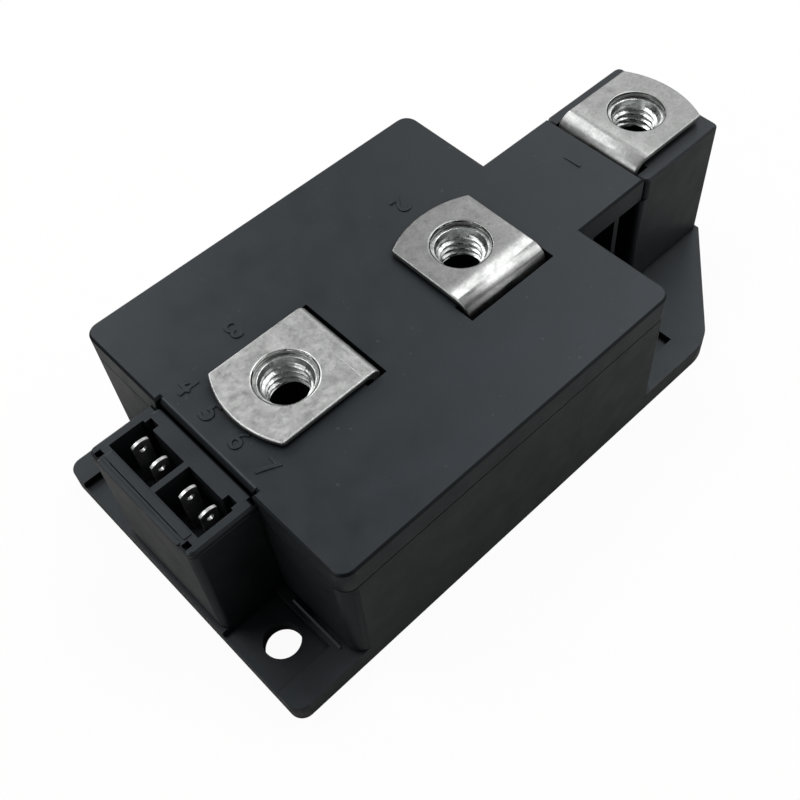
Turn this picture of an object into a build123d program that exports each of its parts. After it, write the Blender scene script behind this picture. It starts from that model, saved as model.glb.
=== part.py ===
"""Dual thyristor module: moulded housing, three screw terminals in a row and a four-pin gate socket.

Millimetres. +X runs along the module from the gate socket to terminal 1, +Y to its left,
+Z up. The origin is the middle of the underside.
"""
from build123d import *
import os
from math import cos, pi, sin

# Module envelope
module_width = 60.0
body_length = 68.6
body_height = 30.5
front_overhang = 12.2
rear_overhang = 36.2
body_corner_radius = 2.4
base_proud = 0.2

# Mounting flange and its screw pads
flange_height = 4.5
pad_height = 3.2
mount_pitch_y = 38.0
front_hole_to_body = 6.2
rear_hole_to_body = 5.2
mount_hole_radius = 3.0
pad_side_margin = 4.6
pad_ledge = 1.9
rear_pad_length = 11.0
flange_corner_radius = 2.2
tail_half_width = 12.0
tail_cut_length = 21.0
tail_corner_radius = 8.0

# Walls of the housing and the shiplap joint with the lid
wall = 2.4
lid_skirt_depth = 5.0
lid_skirt_thickness = 1.2
lid_plate_thickness = 1.6
lid_edge_radius = 0.4
joint_clearance = 0.1
tongue_gap = 0.4
inner_corner_radius = 0.8
arm_overrun = 4.0

# Neck and pedestal that carry terminal 1
neck_half_width = 6.5
neck_wall = 1.6
rib_thickness = 1.2
rib_reach = 4.0
rib_count = 2
rib_pitch = 6.6
rib_to_pedestal = 4.9
pedestal_half_width = 11.5
pedestal_top_drop = 0.6
pedestal_shelf = 1.0
pedestal_corner_radius = 1.2
extension_half_width = 11.0
extension_end_gap = 0.3

# Gate socket block and insert
socket_block_depth = 11.6
socket_half_width = 12.2
socket_top_drop = 1.3
socket_wall = 0.9
socket_well_past_wall = 1.0
socket_corner_radius = 1.2
socket_lip_thickness = 1.0
socket_insert_height = 11.2
socket_fit = 0.1
socket_to_lid_gap = 0.3
lid_notch_depth = 1.0
seam_chamfer = 0.35
seam_groove = 0.25
bay_half_barrier = 0.55
bay_side_wall = 0.6
bay_front = 8.9
bay_back = 2.9
bay_floor = 2.0
key_notch_depth = 1.1
key_notch_width = 1.9
key_notch_margin = 0.5
ledge_groove_width = 0.7
ledge_groove_depth = 0.5
ledge_groove_half_length = 8.0
ledge_groove_from_front = 1.4
latch_hole_size = 1.1
latch_hole_depth = 2.5
latch_hole_from_front = 0.9
latch_hole_from_side = 1.8

# Gate pins
pin_width = 2.8
pin_thickness = 0.5
pin_inner_y = 3.4
pin_outer_y = 8.0
pin_to_body = 5.45
pin_crown = 0.45
pin_hole_radius = 0.6
pin_hole_drop = 1.7
pin_slot_clearance = 0.05
crimp_radius = 1.2
crimp_length = 4.0
crimp_gap = 0.6

# Main terminals and their captive nuts
strap_thickness = 1.0
tab_width = 17.4
tab_tip_radius = 17.5
tab_hole_radius = 4.9
tab_hole_chamfer = 0.25
tab_lift = 0.3
hole_to_leg = 10.6
bend_radius = 1.8
terminal_3_from_front = 15.8
terminal_2_to_body_rear = 16.4
terminal_1_to_rear = 9.2
tip_reach_3 = 10.0
tip_reach_2 = 9.2
tip_reach_1 = 9.2
leg_shoulder_drop = 4.5
leg_slot_clearance = 0.5
leg_slot_outer = 1.0
nut_across_flats = 13.0
nut_height = 6.5
nut_bore_radius = 3.4
nut_mouth_chamfer = 0.7
nut_face_margin = 0.3
nut_cone_slope = 0.6
nut_pocket_clearance = 0.1
nut_tower_radius = 9.0
screw_room_radius = 4.6
screw_room_floor = 1.0
tower_to_clamp = 1.8

# Base plate and ceramics
base_thickness = 3.0
base_edge_wall = 1.2
base_corner_radius = 2.0
base_fit = 0.1
ceramic_thickness = 1.0
ceramic_half_width = 13.5
ceramic_corner_radius = 1.0
ceramic_margin = 0.6

# Pressed stacks, from the base upwards
stack_a_from_front = 15.0
stack_b_to_rear = 21.6
anode_half_width = 10.4
moly_radius = 10.0
moly_thickness = 1.2
wafer_radius = 9.5
wafer_thickness = 0.7
cathode_radius = 7.4
cathode_thickness = 1.5
gate_hole_radius = 1.6
insulator_radius = 8.0
insulator_thickness = 2.0
gate_slot_width = 2.2
spring_outer_radius = 7.0
spring_inner_radius = 3.0
spring_thickness = 0.5
spring_height = 0.8
clamp_width = 10.0
clamp_half_length = 22.5
clamp_thickness = 2.5
clamp_screw_y = 19.0
screw_radius = 2.0
screw_hole_clearance = 0.15
screw_head_radius = 3.4
screw_head_height = 2.2
screw_thread_depth = 2.4
screw_socket_across_flats = 2.5
screw_socket_depth = 1.2

# Straps between the stacks
strap_1_half_width = 4.2
leg_3_near_y = 1.0
leg_2_narrow_width = 6.3
link_near_y = 1.0
link_far_y = 9.0
link_foot_length = 2.0
anode_b_overrun = 12.4
link_tip_overrun = 11.0
link_tail_width = 4.3

# Gate leads and gel
lead_radius = 0.7
lead_arc_share = 0.45
gate_contact_radius = 0.7
upper_lead_drop = 2.2
lower_lead_drop = 4.6
lead_to_insulator = 0.6
lead_to_leg = 2.1
lead_rise = 0.4
lead_4_past_wall = 0.8
lead_4_wall_y = 2.2
lead_4_run_in = 9.5
lead_5_past_wall = 0.3
lead_5_rise = 0.1
lead_5_run_in = 3.6
lead_6_past_wall = 1.7
lead_6_wall_y = 9.4
lead_6_a_x = 7.2
lead_6_a_y = 14.4
lead_6_middle_x = 15.7
lead_6_middle_y = 14.8
lead_6_b_x = 1.3
lead_6_b_y = 12.6
lead_6_foot_x = 5.3
lead_6_foot_y = 0.4
lead_6_end_x = 0.5
lead_6_end_y = 2.6
lead_7_past_wall = 3.3
lead_7_wall_y = 8.9
lead_7_a_x = 5.2
lead_7_past_leg = 1.9
lead_7_run_in = 11.2
gel_height = 5.0

# How far a cutting solid runs past the face that it opens
cut_past = 1.0

# Places worked out from the sizes above
module_length = front_overhang + body_length + rear_overhang
front_x = -module_length / 2
rear_x = module_length / 2
body_x0 = front_x + front_overhang
body_x1 = body_x0 + body_length
half_width = module_width / 2
seam_z = body_height - lid_skirt_depth
plate_under_z = body_height - lid_plate_thickness
cavity_x0 = body_x0 + wall
cavity_x1 = body_x1 - wall
cavity_half_width = half_width - wall
terminal_3_x = body_x0 + terminal_3_from_front
terminal_2_x = body_x1 - terminal_2_to_body_rear
terminal_1_x = rear_x - terminal_1_to_rear
leg_1_x = terminal_1_x - hole_to_leg
leg_3_x = terminal_3_x + hole_to_leg
leg_2_y = -hole_to_leg
extension_x1 = leg_1_x - extension_end_gap
pedestal_x0 = extension_x1 - pedestal_shelf + extension_end_gap
pedestal_top_z = body_height - pedestal_top_drop
nut_top_z = body_height + tab_lift
nut_bottom_z = nut_top_z - nut_height
tab_top_z = nut_top_z + strap_thickness
leg_shoulder_z = body_height - leg_shoulder_drop
base_top_z = base_thickness
ceramic_top_z = base_top_z + ceramic_thickness
anode_top_z = ceramic_top_z + strap_thickness
moly_top_z = anode_top_z + moly_thickness
wafer_top_z = moly_top_z + wafer_thickness
cathode_top_z = wafer_top_z + cathode_thickness
strap_top_z = cathode_top_z + strap_thickness
insulator_top_z = strap_top_z + insulator_thickness
springs_top_z = insulator_top_z + 2 * spring_height
clamp_top_z = springs_top_z + clamp_thickness
tower_bottom_z = clamp_top_z + tower_to_clamp
screw_room_z = tower_bottom_z + screw_room_floor
gate_lead_z = strap_top_z + insulator_thickness / 2
cathode_lead_z = strap_top_z + lead_radius
stack_a_x = body_x0 + stack_a_from_front
stack_b_x = body_x1 - stack_b_to_rear
socket_x0 = body_x0 - socket_block_depth
socket_x1 = body_x0 - socket_to_lid_gap
socket_top_z = body_height - socket_top_drop
socket_lip_z = socket_top_z - socket_lip_thickness
socket_inner_half = socket_half_width - socket_wall
insert_bottom_z = socket_top_z - socket_insert_height
bay_bottom_z = insert_bottom_z + bay_floor
pin_x = body_x0 - pin_to_body
pin_top_z = socket_top_z
crimp_top_z = insert_bottom_z - crimp_gap
crimp_bottom_z = crimp_top_z - crimp_length
channel_half_width = neck_half_width - neck_wall
mount_front_x = body_x0 - front_hole_to_body
mount_rear_x = body_x1 + rear_hole_to_body
mount_y = mount_pitch_y / 2


def block(x0, x1, y0, y1, z0, z1):
    """A box between two corners."""
    size = Box(x1 - x0, y1 - y0, z1 - z0)
    return Pos((x0 + x1) / 2, (y0 + y1) / 2, (z0 + z1) / 2) * size


def rod(x, y, z0, z1, radius):
    """An upright cylinder."""
    return Pos(x, y, (z0 + z1) / 2) * Cylinder(radius, z1 - z0)


def rounded_block(x0, x1, half_y, z0, z1, radius):
    """A box about the X axis with rounded upright edges."""
    outline = RectangleRounded(x1 - x0, 2 * half_y, radius)
    return Pos((x0 + x1) / 2, 0, z0) * extrude(outline, z1 - z0)


def hexagon_prism(x, y, z0, z1, across_flats):
    """An upright hexagonal prism with two flats facing along X."""
    outline = RegularPolygon(across_flats / 2, 6, major_radius=False, rotation=30)
    return Pos(x, y, z0) * extrude(outline, z1 - z0)


def hole_mouth(solid, radius, z):
    """The round edges of one radius at one height."""
    circles = solid.edges().filter_by(GeomType.CIRCLE)
    return [e for e in circles if abs(e.radius - radius) < 0.01 and abs(e.arc_center.Z - z) < 0.01]


def flange_outline():
    """The underside's outline: rounded front corners and a tapered tail under the pedestal."""
    tail_x = rear_x - tail_cut_length
    points = [
        (front_x, -half_width),
        (tail_x, -half_width),
        (rear_x, -tail_half_width),
        (rear_x, tail_half_width),
        (tail_x, half_width),
        (front_x, half_width),
    ]
    outline = make_face(Polyline(*points, close=True))
    front_corners = outline.vertices().group_by(Axis.X)[0]
    outline = fillet(front_corners, flange_corner_radius)
    tail_corners = [v for v in outline.vertices() if abs(v.X - tail_x) < 0.01]
    return fillet(tail_corners, tail_corner_radius)


def lid_outline(inset=0.0):
    """The lid seen from above: the body, the arm towards terminal 1 and the notch at the socket."""
    length = body_length - 2 * inset
    width = module_width - 2 * inset
    corner = max(body_corner_radius - inset, inner_corner_radius)
    plate = Pos((body_x0 + body_x1) / 2, 0) * RectangleRounded(length, width, corner)
    arm_x1 = extension_x1 - inset
    arm_x0 = body_x1 - inset - arm_overrun
    arm = Rectangle(arm_x1 - arm_x0, 2 * (extension_half_width - inset))
    plate += Pos((arm_x0 + arm_x1) / 2, 0) * arm
    notch_x1 = body_x0 + lid_notch_depth + inset
    notch = Rectangle(2 * (notch_x1 - body_x0), 2 * (socket_inner_half + inset))
    return plate - Pos(body_x0, 0) * notch


def housing():
    """The moulded housing: flange, body walls, socket block, ribbed neck and pedestal."""
    flange = Pos(0, 0, base_proud) * extrude(flange_outline(), flange_height - base_proud)
    body = rounded_block(body_x0, body_x1, half_width, base_proud, seam_z, body_corner_radius)
    tongue_inset = lid_skirt_thickness + joint_clearance
    tongue_radius = body_corner_radius - tongue_inset
    tongue = rounded_block(body_x0 + tongue_inset, body_x1 - tongue_inset,
                           half_width - tongue_inset, base_proud,
                           plate_under_z - tongue_gap, tongue_radius)
    socket_block = rounded_block(socket_x0, cavity_x0, socket_half_width, base_proud,
                                 socket_lip_z, socket_corner_radius)
    socket_block -= block(body_x0, cavity_x0, -half_width, half_width, seam_z, body_height)
    socket_rim = socket_block.faces().sort_by(Axis.Z)[-1].edges().filter_by(Axis.Y).sort_by(Axis.X)[0]
    socket_block = chamfer(socket_rim, seam_chamfer)
    # The notch's skirt stands on the wall under the socket, so the tongue stops short of it there
    notch_half = socket_inner_half + lid_skirt_thickness + joint_clearance
    tongue -= block(body_x0, cavity_x0, -notch_half, notch_half, seam_z, body_height)
    neck = block(cavity_x1, pedestal_x0 + wall, -neck_half_width, neck_half_width, base_proud, seam_z)
    neck += block(cavity_x1, extension_x1 - lid_skirt_thickness - joint_clearance,
                  -neck_half_width, neck_half_width, seam_z, plate_under_z)
    pedestal = rounded_block(pedestal_x0, rear_x, pedestal_half_width, base_proud,
                             seam_z, pedestal_corner_radius)
    pedestal_x_top = leg_1_x - joint_clearance
    pedestal += rounded_block(pedestal_x_top, rear_x, pedestal_half_width, base_proud,
                              pedestal_top_z, pedestal_corner_radius)
    pedestal_edges = pedestal.faces().sort_by(Axis.Z)[-1].edges()
    pedestal = chamfer(pedestal_edges, lid_edge_radius)
    shell = flange + body + tongue + socket_block + neck + pedestal

    rib_half = neck_half_width + rib_reach
    for i in range(rib_count):
        rib_x = pedestal_x0 - rib_to_pedestal - i * rib_pitch
        shell += block(rib_x - rib_thickness / 2, rib_x + rib_thickness / 2, -rib_half, rib_half,
                       base_proud, seam_z - joint_clearance)

    # Screw pads, open to the front and closed at the rear
    pad_y1 = half_width - pad_side_margin
    for side in (-1, 1):
        y0, y1 = sorted((side * socket_half_width, side * pad_y1))
        shell -= block(front_x - cut_past, body_x0 - pad_ledge, y0, y1, pad_height, flange_height)
        shell -= block(body_x1, body_x1 + rear_pad_length, y0, y1, pad_height, flange_height)
        for x in (mount_front_x, mount_rear_x):
            shell -= rod(x, side * mount_y, 0, flange_height, mount_hole_radius)

    # Body cavity, base plate seat, socket well and lead passage
    shell -= rounded_block(cavity_x0, cavity_x1, cavity_half_width, base_thickness,
                           body_height, inner_corner_radius)
    shell -= rounded_block(body_x0 + base_edge_wall, body_x1 - base_edge_wall,
                           half_width - base_edge_wall, 0, base_thickness, base_corner_radius)
    shell -= block(socket_x0 + socket_wall, cavity_x0 + socket_well_past_wall,
                   -socket_inner_half, socket_inner_half, flange_height, body_height)

    # Channel for strap 1 through the neck, and the slots for its leg
    shell -= block(cavity_x1 - cut_past, leg_1_x + strap_thickness + leg_slot_clearance,
                   -channel_half_width, channel_half_width, ceramic_top_z, leg_shoulder_z)
    shell -= block(cavity_x1 - cut_past, pedestal_x0, -channel_half_width, channel_half_width,
                   ceramic_top_z, plate_under_z)
    leg_half = tab_width / 2 + leg_slot_clearance
    shell -= block(pedestal_x_top - cut_past, leg_1_x + strap_thickness + bend_radius,
                   -leg_half, leg_half, leg_shoulder_z - leg_slot_clearance, body_height)

    # Nut pocket and screw room in the pedestal
    pocket_flats = nut_across_flats + 2 * nut_pocket_clearance
    shell -= hexagon_prism(terminal_1_x, 0, nut_bottom_z, body_height, pocket_flats)
    shell -= rod(terminal_1_x, 0, screw_room_z, nut_bottom_z, screw_room_radius)
    return shell


def lid():
    """The lid: a skirted cap with two nut towers and slots for the terminal legs."""
    cap = Pos(0, 0, seam_z) * extrude(lid_outline(), lid_skirt_depth)
    rim = cap.faces().sort_by(Axis.Z)[-1].edges()
    cap = chamfer(rim, lid_edge_radius)
    cap = chamfer(cap.faces().sort_by(Axis.Z)[0].edges(), seam_groove)
    inside = extrude(lid_outline(lid_skirt_thickness), plate_under_z - seam_z + cut_past)
    cap -= Pos(0, 0, seam_z - cut_past) * inside

    for x in (terminal_3_x, terminal_2_x):
        cap += rod(x, 0, tower_bottom_z, plate_under_z, nut_tower_radius)
        cap -= hexagon_prism(x, 0, nut_bottom_z, body_height + cut_past,
                             nut_across_flats + 2 * nut_pocket_clearance)
        cap -= rod(x, 0, screw_room_z, nut_bottom_z, screw_room_radius)

    leg_half = tab_width / 2 + leg_slot_clearance
    slot_end = strap_thickness + bend_radius
    cap -= block(leg_3_x - slot_end, leg_3_x + leg_slot_outer, -leg_half, leg_half,
                 plate_under_z - cut_past, body_height + cut_past)
    cap -= block(terminal_2_x - leg_half, terminal_2_x + leg_half, leg_2_y - leg_slot_outer,
                 leg_2_y + slot_end, plate_under_z - cut_past, body_height + cut_past)
    return cap


def gate_socket():
    """The socket insert: a lip on the block's walls and two bays, each round two pins."""
    lip = rounded_block(socket_x0, socket_x1 + socket_corner_radius, socket_half_width, socket_lip_z,
                        socket_top_z, socket_corner_radius)
    lip -= block(socket_x1, socket_x1 + 2 * socket_corner_radius, -half_width, half_width, 0, body_height)
    lip = chamfer(lip.faces().sort_by(Axis.Z)[-1].edges(), lid_edge_radius)
    plug_half = socket_inner_half - socket_fit
    plug = block(socket_x0 + socket_wall + socket_fit, socket_x1, -plug_half, plug_half,
                 insert_bottom_z, socket_lip_z)
    insert = lip + plug
    bay_outer = plug_half - bay_side_wall
    for side in (-1, 1):
        y0, y1 = sorted((side * bay_half_barrier, side * bay_outer))
        insert -= block(body_x0 - bay_front, body_x0 - bay_back, y0, y1, bay_bottom_z, body_height)
        key_y1 = bay_outer - key_notch_margin
        y0, y1 = sorted((side * (key_y1 - key_notch_width), side * key_y1))
        insert -= block(body_x0 - bay_back - cut_past, body_x0 - bay_back + key_notch_depth, y0, y1,
                        bay_bottom_z, body_height)
        latch_x = socket_x0 + latch_hole_from_front
        latch_y = side * (socket_half_width - latch_hole_from_side)
        reach = latch_hole_size / 2
        insert -= block(latch_x - reach, latch_x + reach, latch_y - reach, latch_y + reach,
                        socket_top_z - latch_hole_depth, body_height)
        for pin_y in (pin_inner_y, pin_outer_y):
            slot_x = pin_width / 2 + pin_slot_clearance
            slot_y = pin_thickness / 2 + pin_slot_clearance
            insert -= block(pin_x - slot_x, pin_x + slot_x, side * pin_y - slot_y,
                            side * pin_y + slot_y, 0, bay_bottom_z + cut_past)
    groove_x = socket_x0 + ledge_groove_from_front
    insert -= block(groove_x - ledge_groove_width / 2, groove_x + ledge_groove_width / 2,
                    -ledge_groove_half_length, ledge_groove_half_length,
                    socket_top_z - ledge_groove_depth, body_height)
    return insert


def gate_pin(y):
    """A flat blade with a crowned tip and a latch hole, ending below in a crimp barrel."""
    half = pin_width / 2
    shoulder_z = pin_top_z - pin_crown
    sides = [(half, shoulder_z), (half, crimp_top_z), (-half, crimp_top_z), (-half, shoulder_z)]
    crown = ThreePointArc((-half, shoulder_z), (0, pin_top_z), (half, shoulder_z))
    face = make_face(crown + Polyline(*sides))
    face -= Pos(0, pin_top_z - pin_hole_drop) * Circle(pin_hole_radius)
    blade = extrude(Plane.XZ * face, pin_thickness / 2, both=True)
    return Pos(pin_x, y, 0) * blade + rod(pin_x, y, crimp_bottom_z, crimp_top_z, crimp_radius)


def tab_and_leg(tip_reach, leg_bottom_z):
    """A terminal strap in its own frame: hole on the Z axis, leg on the +X side."""
    outer = bend_radius + strap_thickness
    profile = Polyline((-tip_reach, nut_top_z), (-tip_reach, tab_top_z), (hole_to_leg, tab_top_z),
                       (hole_to_leg, leg_bottom_z), (hole_to_leg - strap_thickness, leg_bottom_z),
                       (hole_to_leg - strap_thickness, nut_top_z), close=True)
    strip = extrude(Plane.XZ * make_face(profile), tab_width / 2, both=True)
    outer_edge = strip.edges().filter_by(Axis.Y).group_by(Axis.Z)[-1].sort_by(Axis.X)[-1]
    strip = fillet(outer_edge, outer)
    inner_edges = [e for e in strip.edges().filter_by(Axis.Y)
                   if abs(e.center().X - hole_to_leg + strap_thickness) < 0.01
                   and abs(e.center().Z - nut_top_z) < 0.01]
    strip = fillet(inner_edges, bend_radius)
    tip = Pos(tab_tip_radius - tip_reach, 0, nut_top_z) * extrude(Circle(tab_tip_radius), strap_thickness)
    beyond_tip = block(-tip_reach - cut_past, 0, -tab_width, tab_width, nut_top_z, tab_top_z) - tip
    strip -= beyond_tip
    strip -= rod(0, 0, nut_top_z, tab_top_z, tab_hole_radius)
    return chamfer(hole_mouth(strip, tab_hole_radius, tab_top_z), tab_hole_chamfer)


def terminal_3():
    """Anode of the first thyristor: tab, stepped leg and the plate under stack A."""
    strap = Pos(terminal_3_x, 0, 0) * tab_and_leg(tip_reach_3, ceramic_top_z)
    strap -= block(leg_3_x - 2 * strap_thickness, leg_3_x + cut_past, -leg_3_near_y, half_width,
                   0, leg_shoulder_z)
    strap += block(stack_a_x - anode_half_width, leg_3_x, -anode_half_width,
                   anode_half_width, ceramic_top_z, anode_top_z)
    return strap


def terminal_2():
    """Cathode of the second thyristor: tab, stepped leg and the plate on top of stack B."""
    strap = Pos(terminal_2_x, 0, 0) * Rot(0, 0, -90) * tab_and_leg(tip_reach_2, cathode_top_z)
    leg_x1 = terminal_2_x + tab_width / 2
    leg_x0 = leg_x1 - leg_2_narrow_width
    strap -= block(terminal_2_x - tab_width, leg_x0, leg_2_y - cut_past, leg_2_y + 2 * strap_thickness,
                   0, leg_shoulder_z)
    foot_y1 = link_far_y - cathode_radius
    strap += block(leg_x0, leg_x1, leg_2_y, foot_y1, cathode_top_z, strap_top_z)
    strap += block(stack_b_x, leg_x1, -foot_y1, foot_y1, cathode_top_z, strap_top_z)
    pad = rod(stack_b_x, 0, cathode_top_z, strap_top_z, cathode_radius)
    return strap + pad - rod(stack_b_x, 0, 0, body_height / 2, gate_hole_radius)


def terminal_1():
    """Common terminal: tab, stepped leg and the long strap to the plate under stack B."""
    strap = Pos(terminal_1_x, 0, 0) * Rot(0, 0, 180) * tab_and_leg(tip_reach_1, ceramic_top_z)
    for side in (-1, 1):
        y0, y1 = sorted((side * strap_1_half_width, side * tab_width))
        strap -= block(leg_1_x - cut_past, leg_1_x + 2 * strap_thickness, y0, y1, 0, leg_shoulder_z)
    strap += block(stack_b_x, leg_1_x + strap_thickness, -strap_1_half_width, strap_1_half_width,
                   ceramic_top_z, anode_top_z)
    strap += block(stack_b_x - anode_b_overrun, stack_b_x + anode_half_width, -anode_half_width,
                   anode_half_width, ceramic_top_z, anode_top_z)
    return strap


def cathode_link():
    """The strap from the plate under stack B up and over to the top of stack A."""
    foot_x0 = stack_b_x - anode_b_overrun
    foot = block(foot_x0, foot_x0 + link_foot_length, link_near_y, link_far_y,
                 anode_top_z, anode_top_z + strap_thickness)
    riser = block(foot_x0, foot_x0 + strap_thickness, link_near_y, link_far_y, anode_top_z, strap_top_z)
    arm = block(stack_a_x, foot_x0 + strap_thickness, link_near_y, link_far_y, cathode_top_z, strap_top_z)
    pad = rod(stack_a_x, 0, cathode_top_z, strap_top_z, cathode_radius)
    tail = block(stack_a_x - link_tip_overrun, stack_a_x, link_near_y, link_near_y + link_tail_width,
                 cathode_top_z, strap_top_z)
    return foot + riser + arm + pad + tail - rod(stack_a_x, 0, 0, body_height / 2, gate_hole_radius)


def terminal_nut(x):
    """A captive M8 hexagon nut with chamfered corners and mouths."""
    nut = hexagon_prism(x, 0, nut_bottom_z, nut_top_z, nut_across_flats)
    face_radius = nut_across_flats / 2 + nut_face_margin
    corner = nut_across_flats / (2 * cos(pi / 6))
    drop = (corner - face_radius) * nut_cone_slope
    cone = Polyline((0, nut_bottom_z), (corner, nut_bottom_z), (corner, nut_top_z - drop),
                    (face_radius, nut_top_z), (0, nut_top_z), close=True)
    envelope = Pos(x, 0, 0) * revolve(Plane.XZ * make_face(cone), Axis.Z)
    nut = nut & envelope
    nut -= rod(x, 0, nut_bottom_z, nut_top_z, nut_bore_radius)
    mouths = hole_mouth(nut, nut_bore_radius, nut_top_z) + hole_mouth(nut, nut_bore_radius, nut_bottom_z)
    return chamfer(mouths, nut_mouth_chamfer)


def base_plate():
    """The metal base with tapped holes for the clamp screws."""
    inset = base_edge_wall + base_fit
    plate = rounded_block(body_x0 + inset, body_x1 - inset, half_width - inset, 0, base_thickness,
                          base_corner_radius)
    for x in (stack_a_x, stack_b_x):
        for y in (-clamp_screw_y, clamp_screw_y):
            plate -= rod(x, y, base_thickness - screw_thread_depth, base_thickness, screw_radius)
    return plate


def ceramic(x0, x1):
    """An insulating ceramic plate."""
    return rounded_block(x0, x1, ceramic_half_width, base_top_z, ceramic_top_z, ceramic_corner_radius)


def ring(x, z0, z1, outer, inner):
    """A flat ring on an upright axis."""
    return rod(x, 0, z0, z1, outer) - rod(x, 0, z0, z1, inner)


def insulator(x):
    """The insulating collar under the springs, slotted for the gate lead."""
    collar = ring(x, strap_top_z, insulator_top_z, insulator_radius, gate_hole_radius)
    return collar - block(x - 2 * insulator_radius, x, -gate_slot_width / 2, gate_slot_width / 2,
                          strap_top_z, insulator_top_z)


def disc_springs(x):
    """Two conical washers, rim to rim."""
    drop = spring_height - spring_thickness
    section = Polyline((spring_inner_radius, drop), (spring_outer_radius, 0),
                       (spring_outer_radius, spring_thickness),
                       (spring_inner_radius, drop + spring_thickness), close=True)
    upper = revolve(Plane.XZ * make_face(section), Axis.Z)
    lower = mirror(upper, Plane.XY)
    middle_z = insulator_top_z + spring_height
    return [Pos(x, 0, middle_z) * lower, Pos(x, 0, middle_z) * upper]


def clamp_bar(x):
    """The spring-steel bar that presses one stack onto the base."""
    outline = SlotOverall(2 * clamp_half_length, clamp_width, rotation=90)
    bar = Pos(x, 0, springs_top_z) * extrude(outline, clamp_thickness)
    for y in (-clamp_screw_y, clamp_screw_y):
        bar -= rod(x, y, 0, body_height, screw_radius + screw_hole_clearance)
    return bar


def clamp_screws():
    """Four socket-head screws from the clamp bars into the base."""
    screws = []
    for x in (stack_a_x, stack_b_x):
        for y in (-clamp_screw_y, clamp_screw_y):
            screw = rod(x, y, base_thickness - screw_thread_depth, clamp_top_z, screw_radius)
            screw += rod(x, y, clamp_top_z, clamp_top_z + screw_head_height, screw_head_radius)
            screw -= hexagon_prism(x, y, clamp_top_z + screw_head_height - screw_socket_depth,
                                   clamp_top_z + screw_head_height, screw_socket_across_flats)
            screws.append(screw)
    return screws


def gate_contact(x):
    """The spring pin that touches the middle of one wafer."""
    return rod(x, 0, wafer_top_z, gate_lead_z + lead_radius, gate_contact_radius)


def lead(points):
    """An insulated lead along straight runs joined by tangent arcs."""
    radii = []
    for before, here, after in zip(points, points[1:], points[2:]):
        run_in = Vector(here) - Vector(before)
        run_out = Vector(after) - Vector(here)
        half_turn = run_in.get_angle(run_out) * pi / 360
        shorter = min(run_in.length, run_out.length)
        radii.append(lead_arc_share * shorter * cos(half_turn) / sin(half_turn))
    path = FilletPolyline(*points, radius=radii)
    start = Plane(origin=path @ 0, z_dir=path % 0)
    return sweep(start * Circle(lead_radius), path=path)


def leads():
    """The four leads from the crimp barrels to the gates and cathodes of both stacks.

    Leads 4 and 7 leave the barrels higher up and cross over leads 5 and 6 in the socket's well.
    """
    over_z = crimp_bottom_z - upper_lead_drop
    under_z = crimp_bottom_z - lower_lead_drop
    cathode_a_x = stack_a_x - insulator_radius - lead_to_insulator
    foot_x = terminal_2_x + tab_width / 2 - leg_2_narrow_width / 2
    foot_y = leg_2_y + strap_thickness
    beside_leg_y = -tab_width / 2 - lead_to_leg
    routes = {
        "gate_lead_4": [
            (pin_x, pin_outer_y, crimp_bottom_z), (pin_x, pin_outer_y, over_z),
            (body_x0 + lead_4_past_wall, lead_4_wall_y, over_z + lead_rise),
            (stack_a_x - lead_4_run_in, 0, gate_lead_z),
            (stack_a_x - gate_contact_radius, 0, gate_lead_z),
        ],
        "cathode_lead_5": [
            (pin_x, pin_inner_y, crimp_bottom_z), (pin_x, pin_inner_y, under_z),
            (body_x0 + lead_5_past_wall, pin_inner_y, under_z + lead_5_rise),
            (cathode_a_x - lead_5_run_in, pin_inner_y, cathode_lead_z),
            (cathode_a_x, pin_inner_y, cathode_lead_z),
        ],
        "cathode_lead_6": [
            (pin_x, -pin_inner_y, crimp_bottom_z), (pin_x, -pin_inner_y, under_z),
            (body_x0 + lead_6_past_wall, -lead_6_wall_y, under_z + lead_rise),
            (stack_a_x - lead_6_a_x, -lead_6_a_y, cathode_lead_z),
            (stack_b_x - lead_6_middle_x, -lead_6_middle_y, cathode_lead_z),
            (stack_b_x + lead_6_b_x, -lead_6_b_y, cathode_lead_z),
            (foot_x - lead_6_foot_x, foot_y + lead_6_foot_y, cathode_lead_z),
            (foot_x - lead_6_end_x, foot_y + lead_6_end_y, cathode_lead_z),
        ],
        "gate_lead_7": [
            (pin_x, -pin_outer_y, crimp_bottom_z), (pin_x, -pin_outer_y, over_z),
            (body_x0 + lead_7_past_wall, -lead_7_wall_y, over_z),
            (stack_a_x - lead_7_a_x, beside_leg_y, gate_lead_z),
            (leg_3_x + lead_7_past_leg, beside_leg_y, gate_lead_z),
            (stack_b_x - lead_7_run_in, 0, gate_lead_z),
            (stack_b_x - gate_contact_radius, 0, gate_lead_z),
        ],
    }
    return {name: lead(points) for name, points in routes.items()}


def silicone_gel(others):
    """The soft gel over the base, cast round what stands in it."""
    gel = rounded_block(cavity_x0, cavity_x1, cavity_half_width, base_top_z,
                        base_top_z + gel_height, inner_corner_radius)
    for other in others:
        gel -= other
    for x in (stack_a_x, stack_b_x):
        gel -= rod(x, 0, base_top_z, base_top_z + gel_height, cathode_radius)
    return gel


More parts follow.
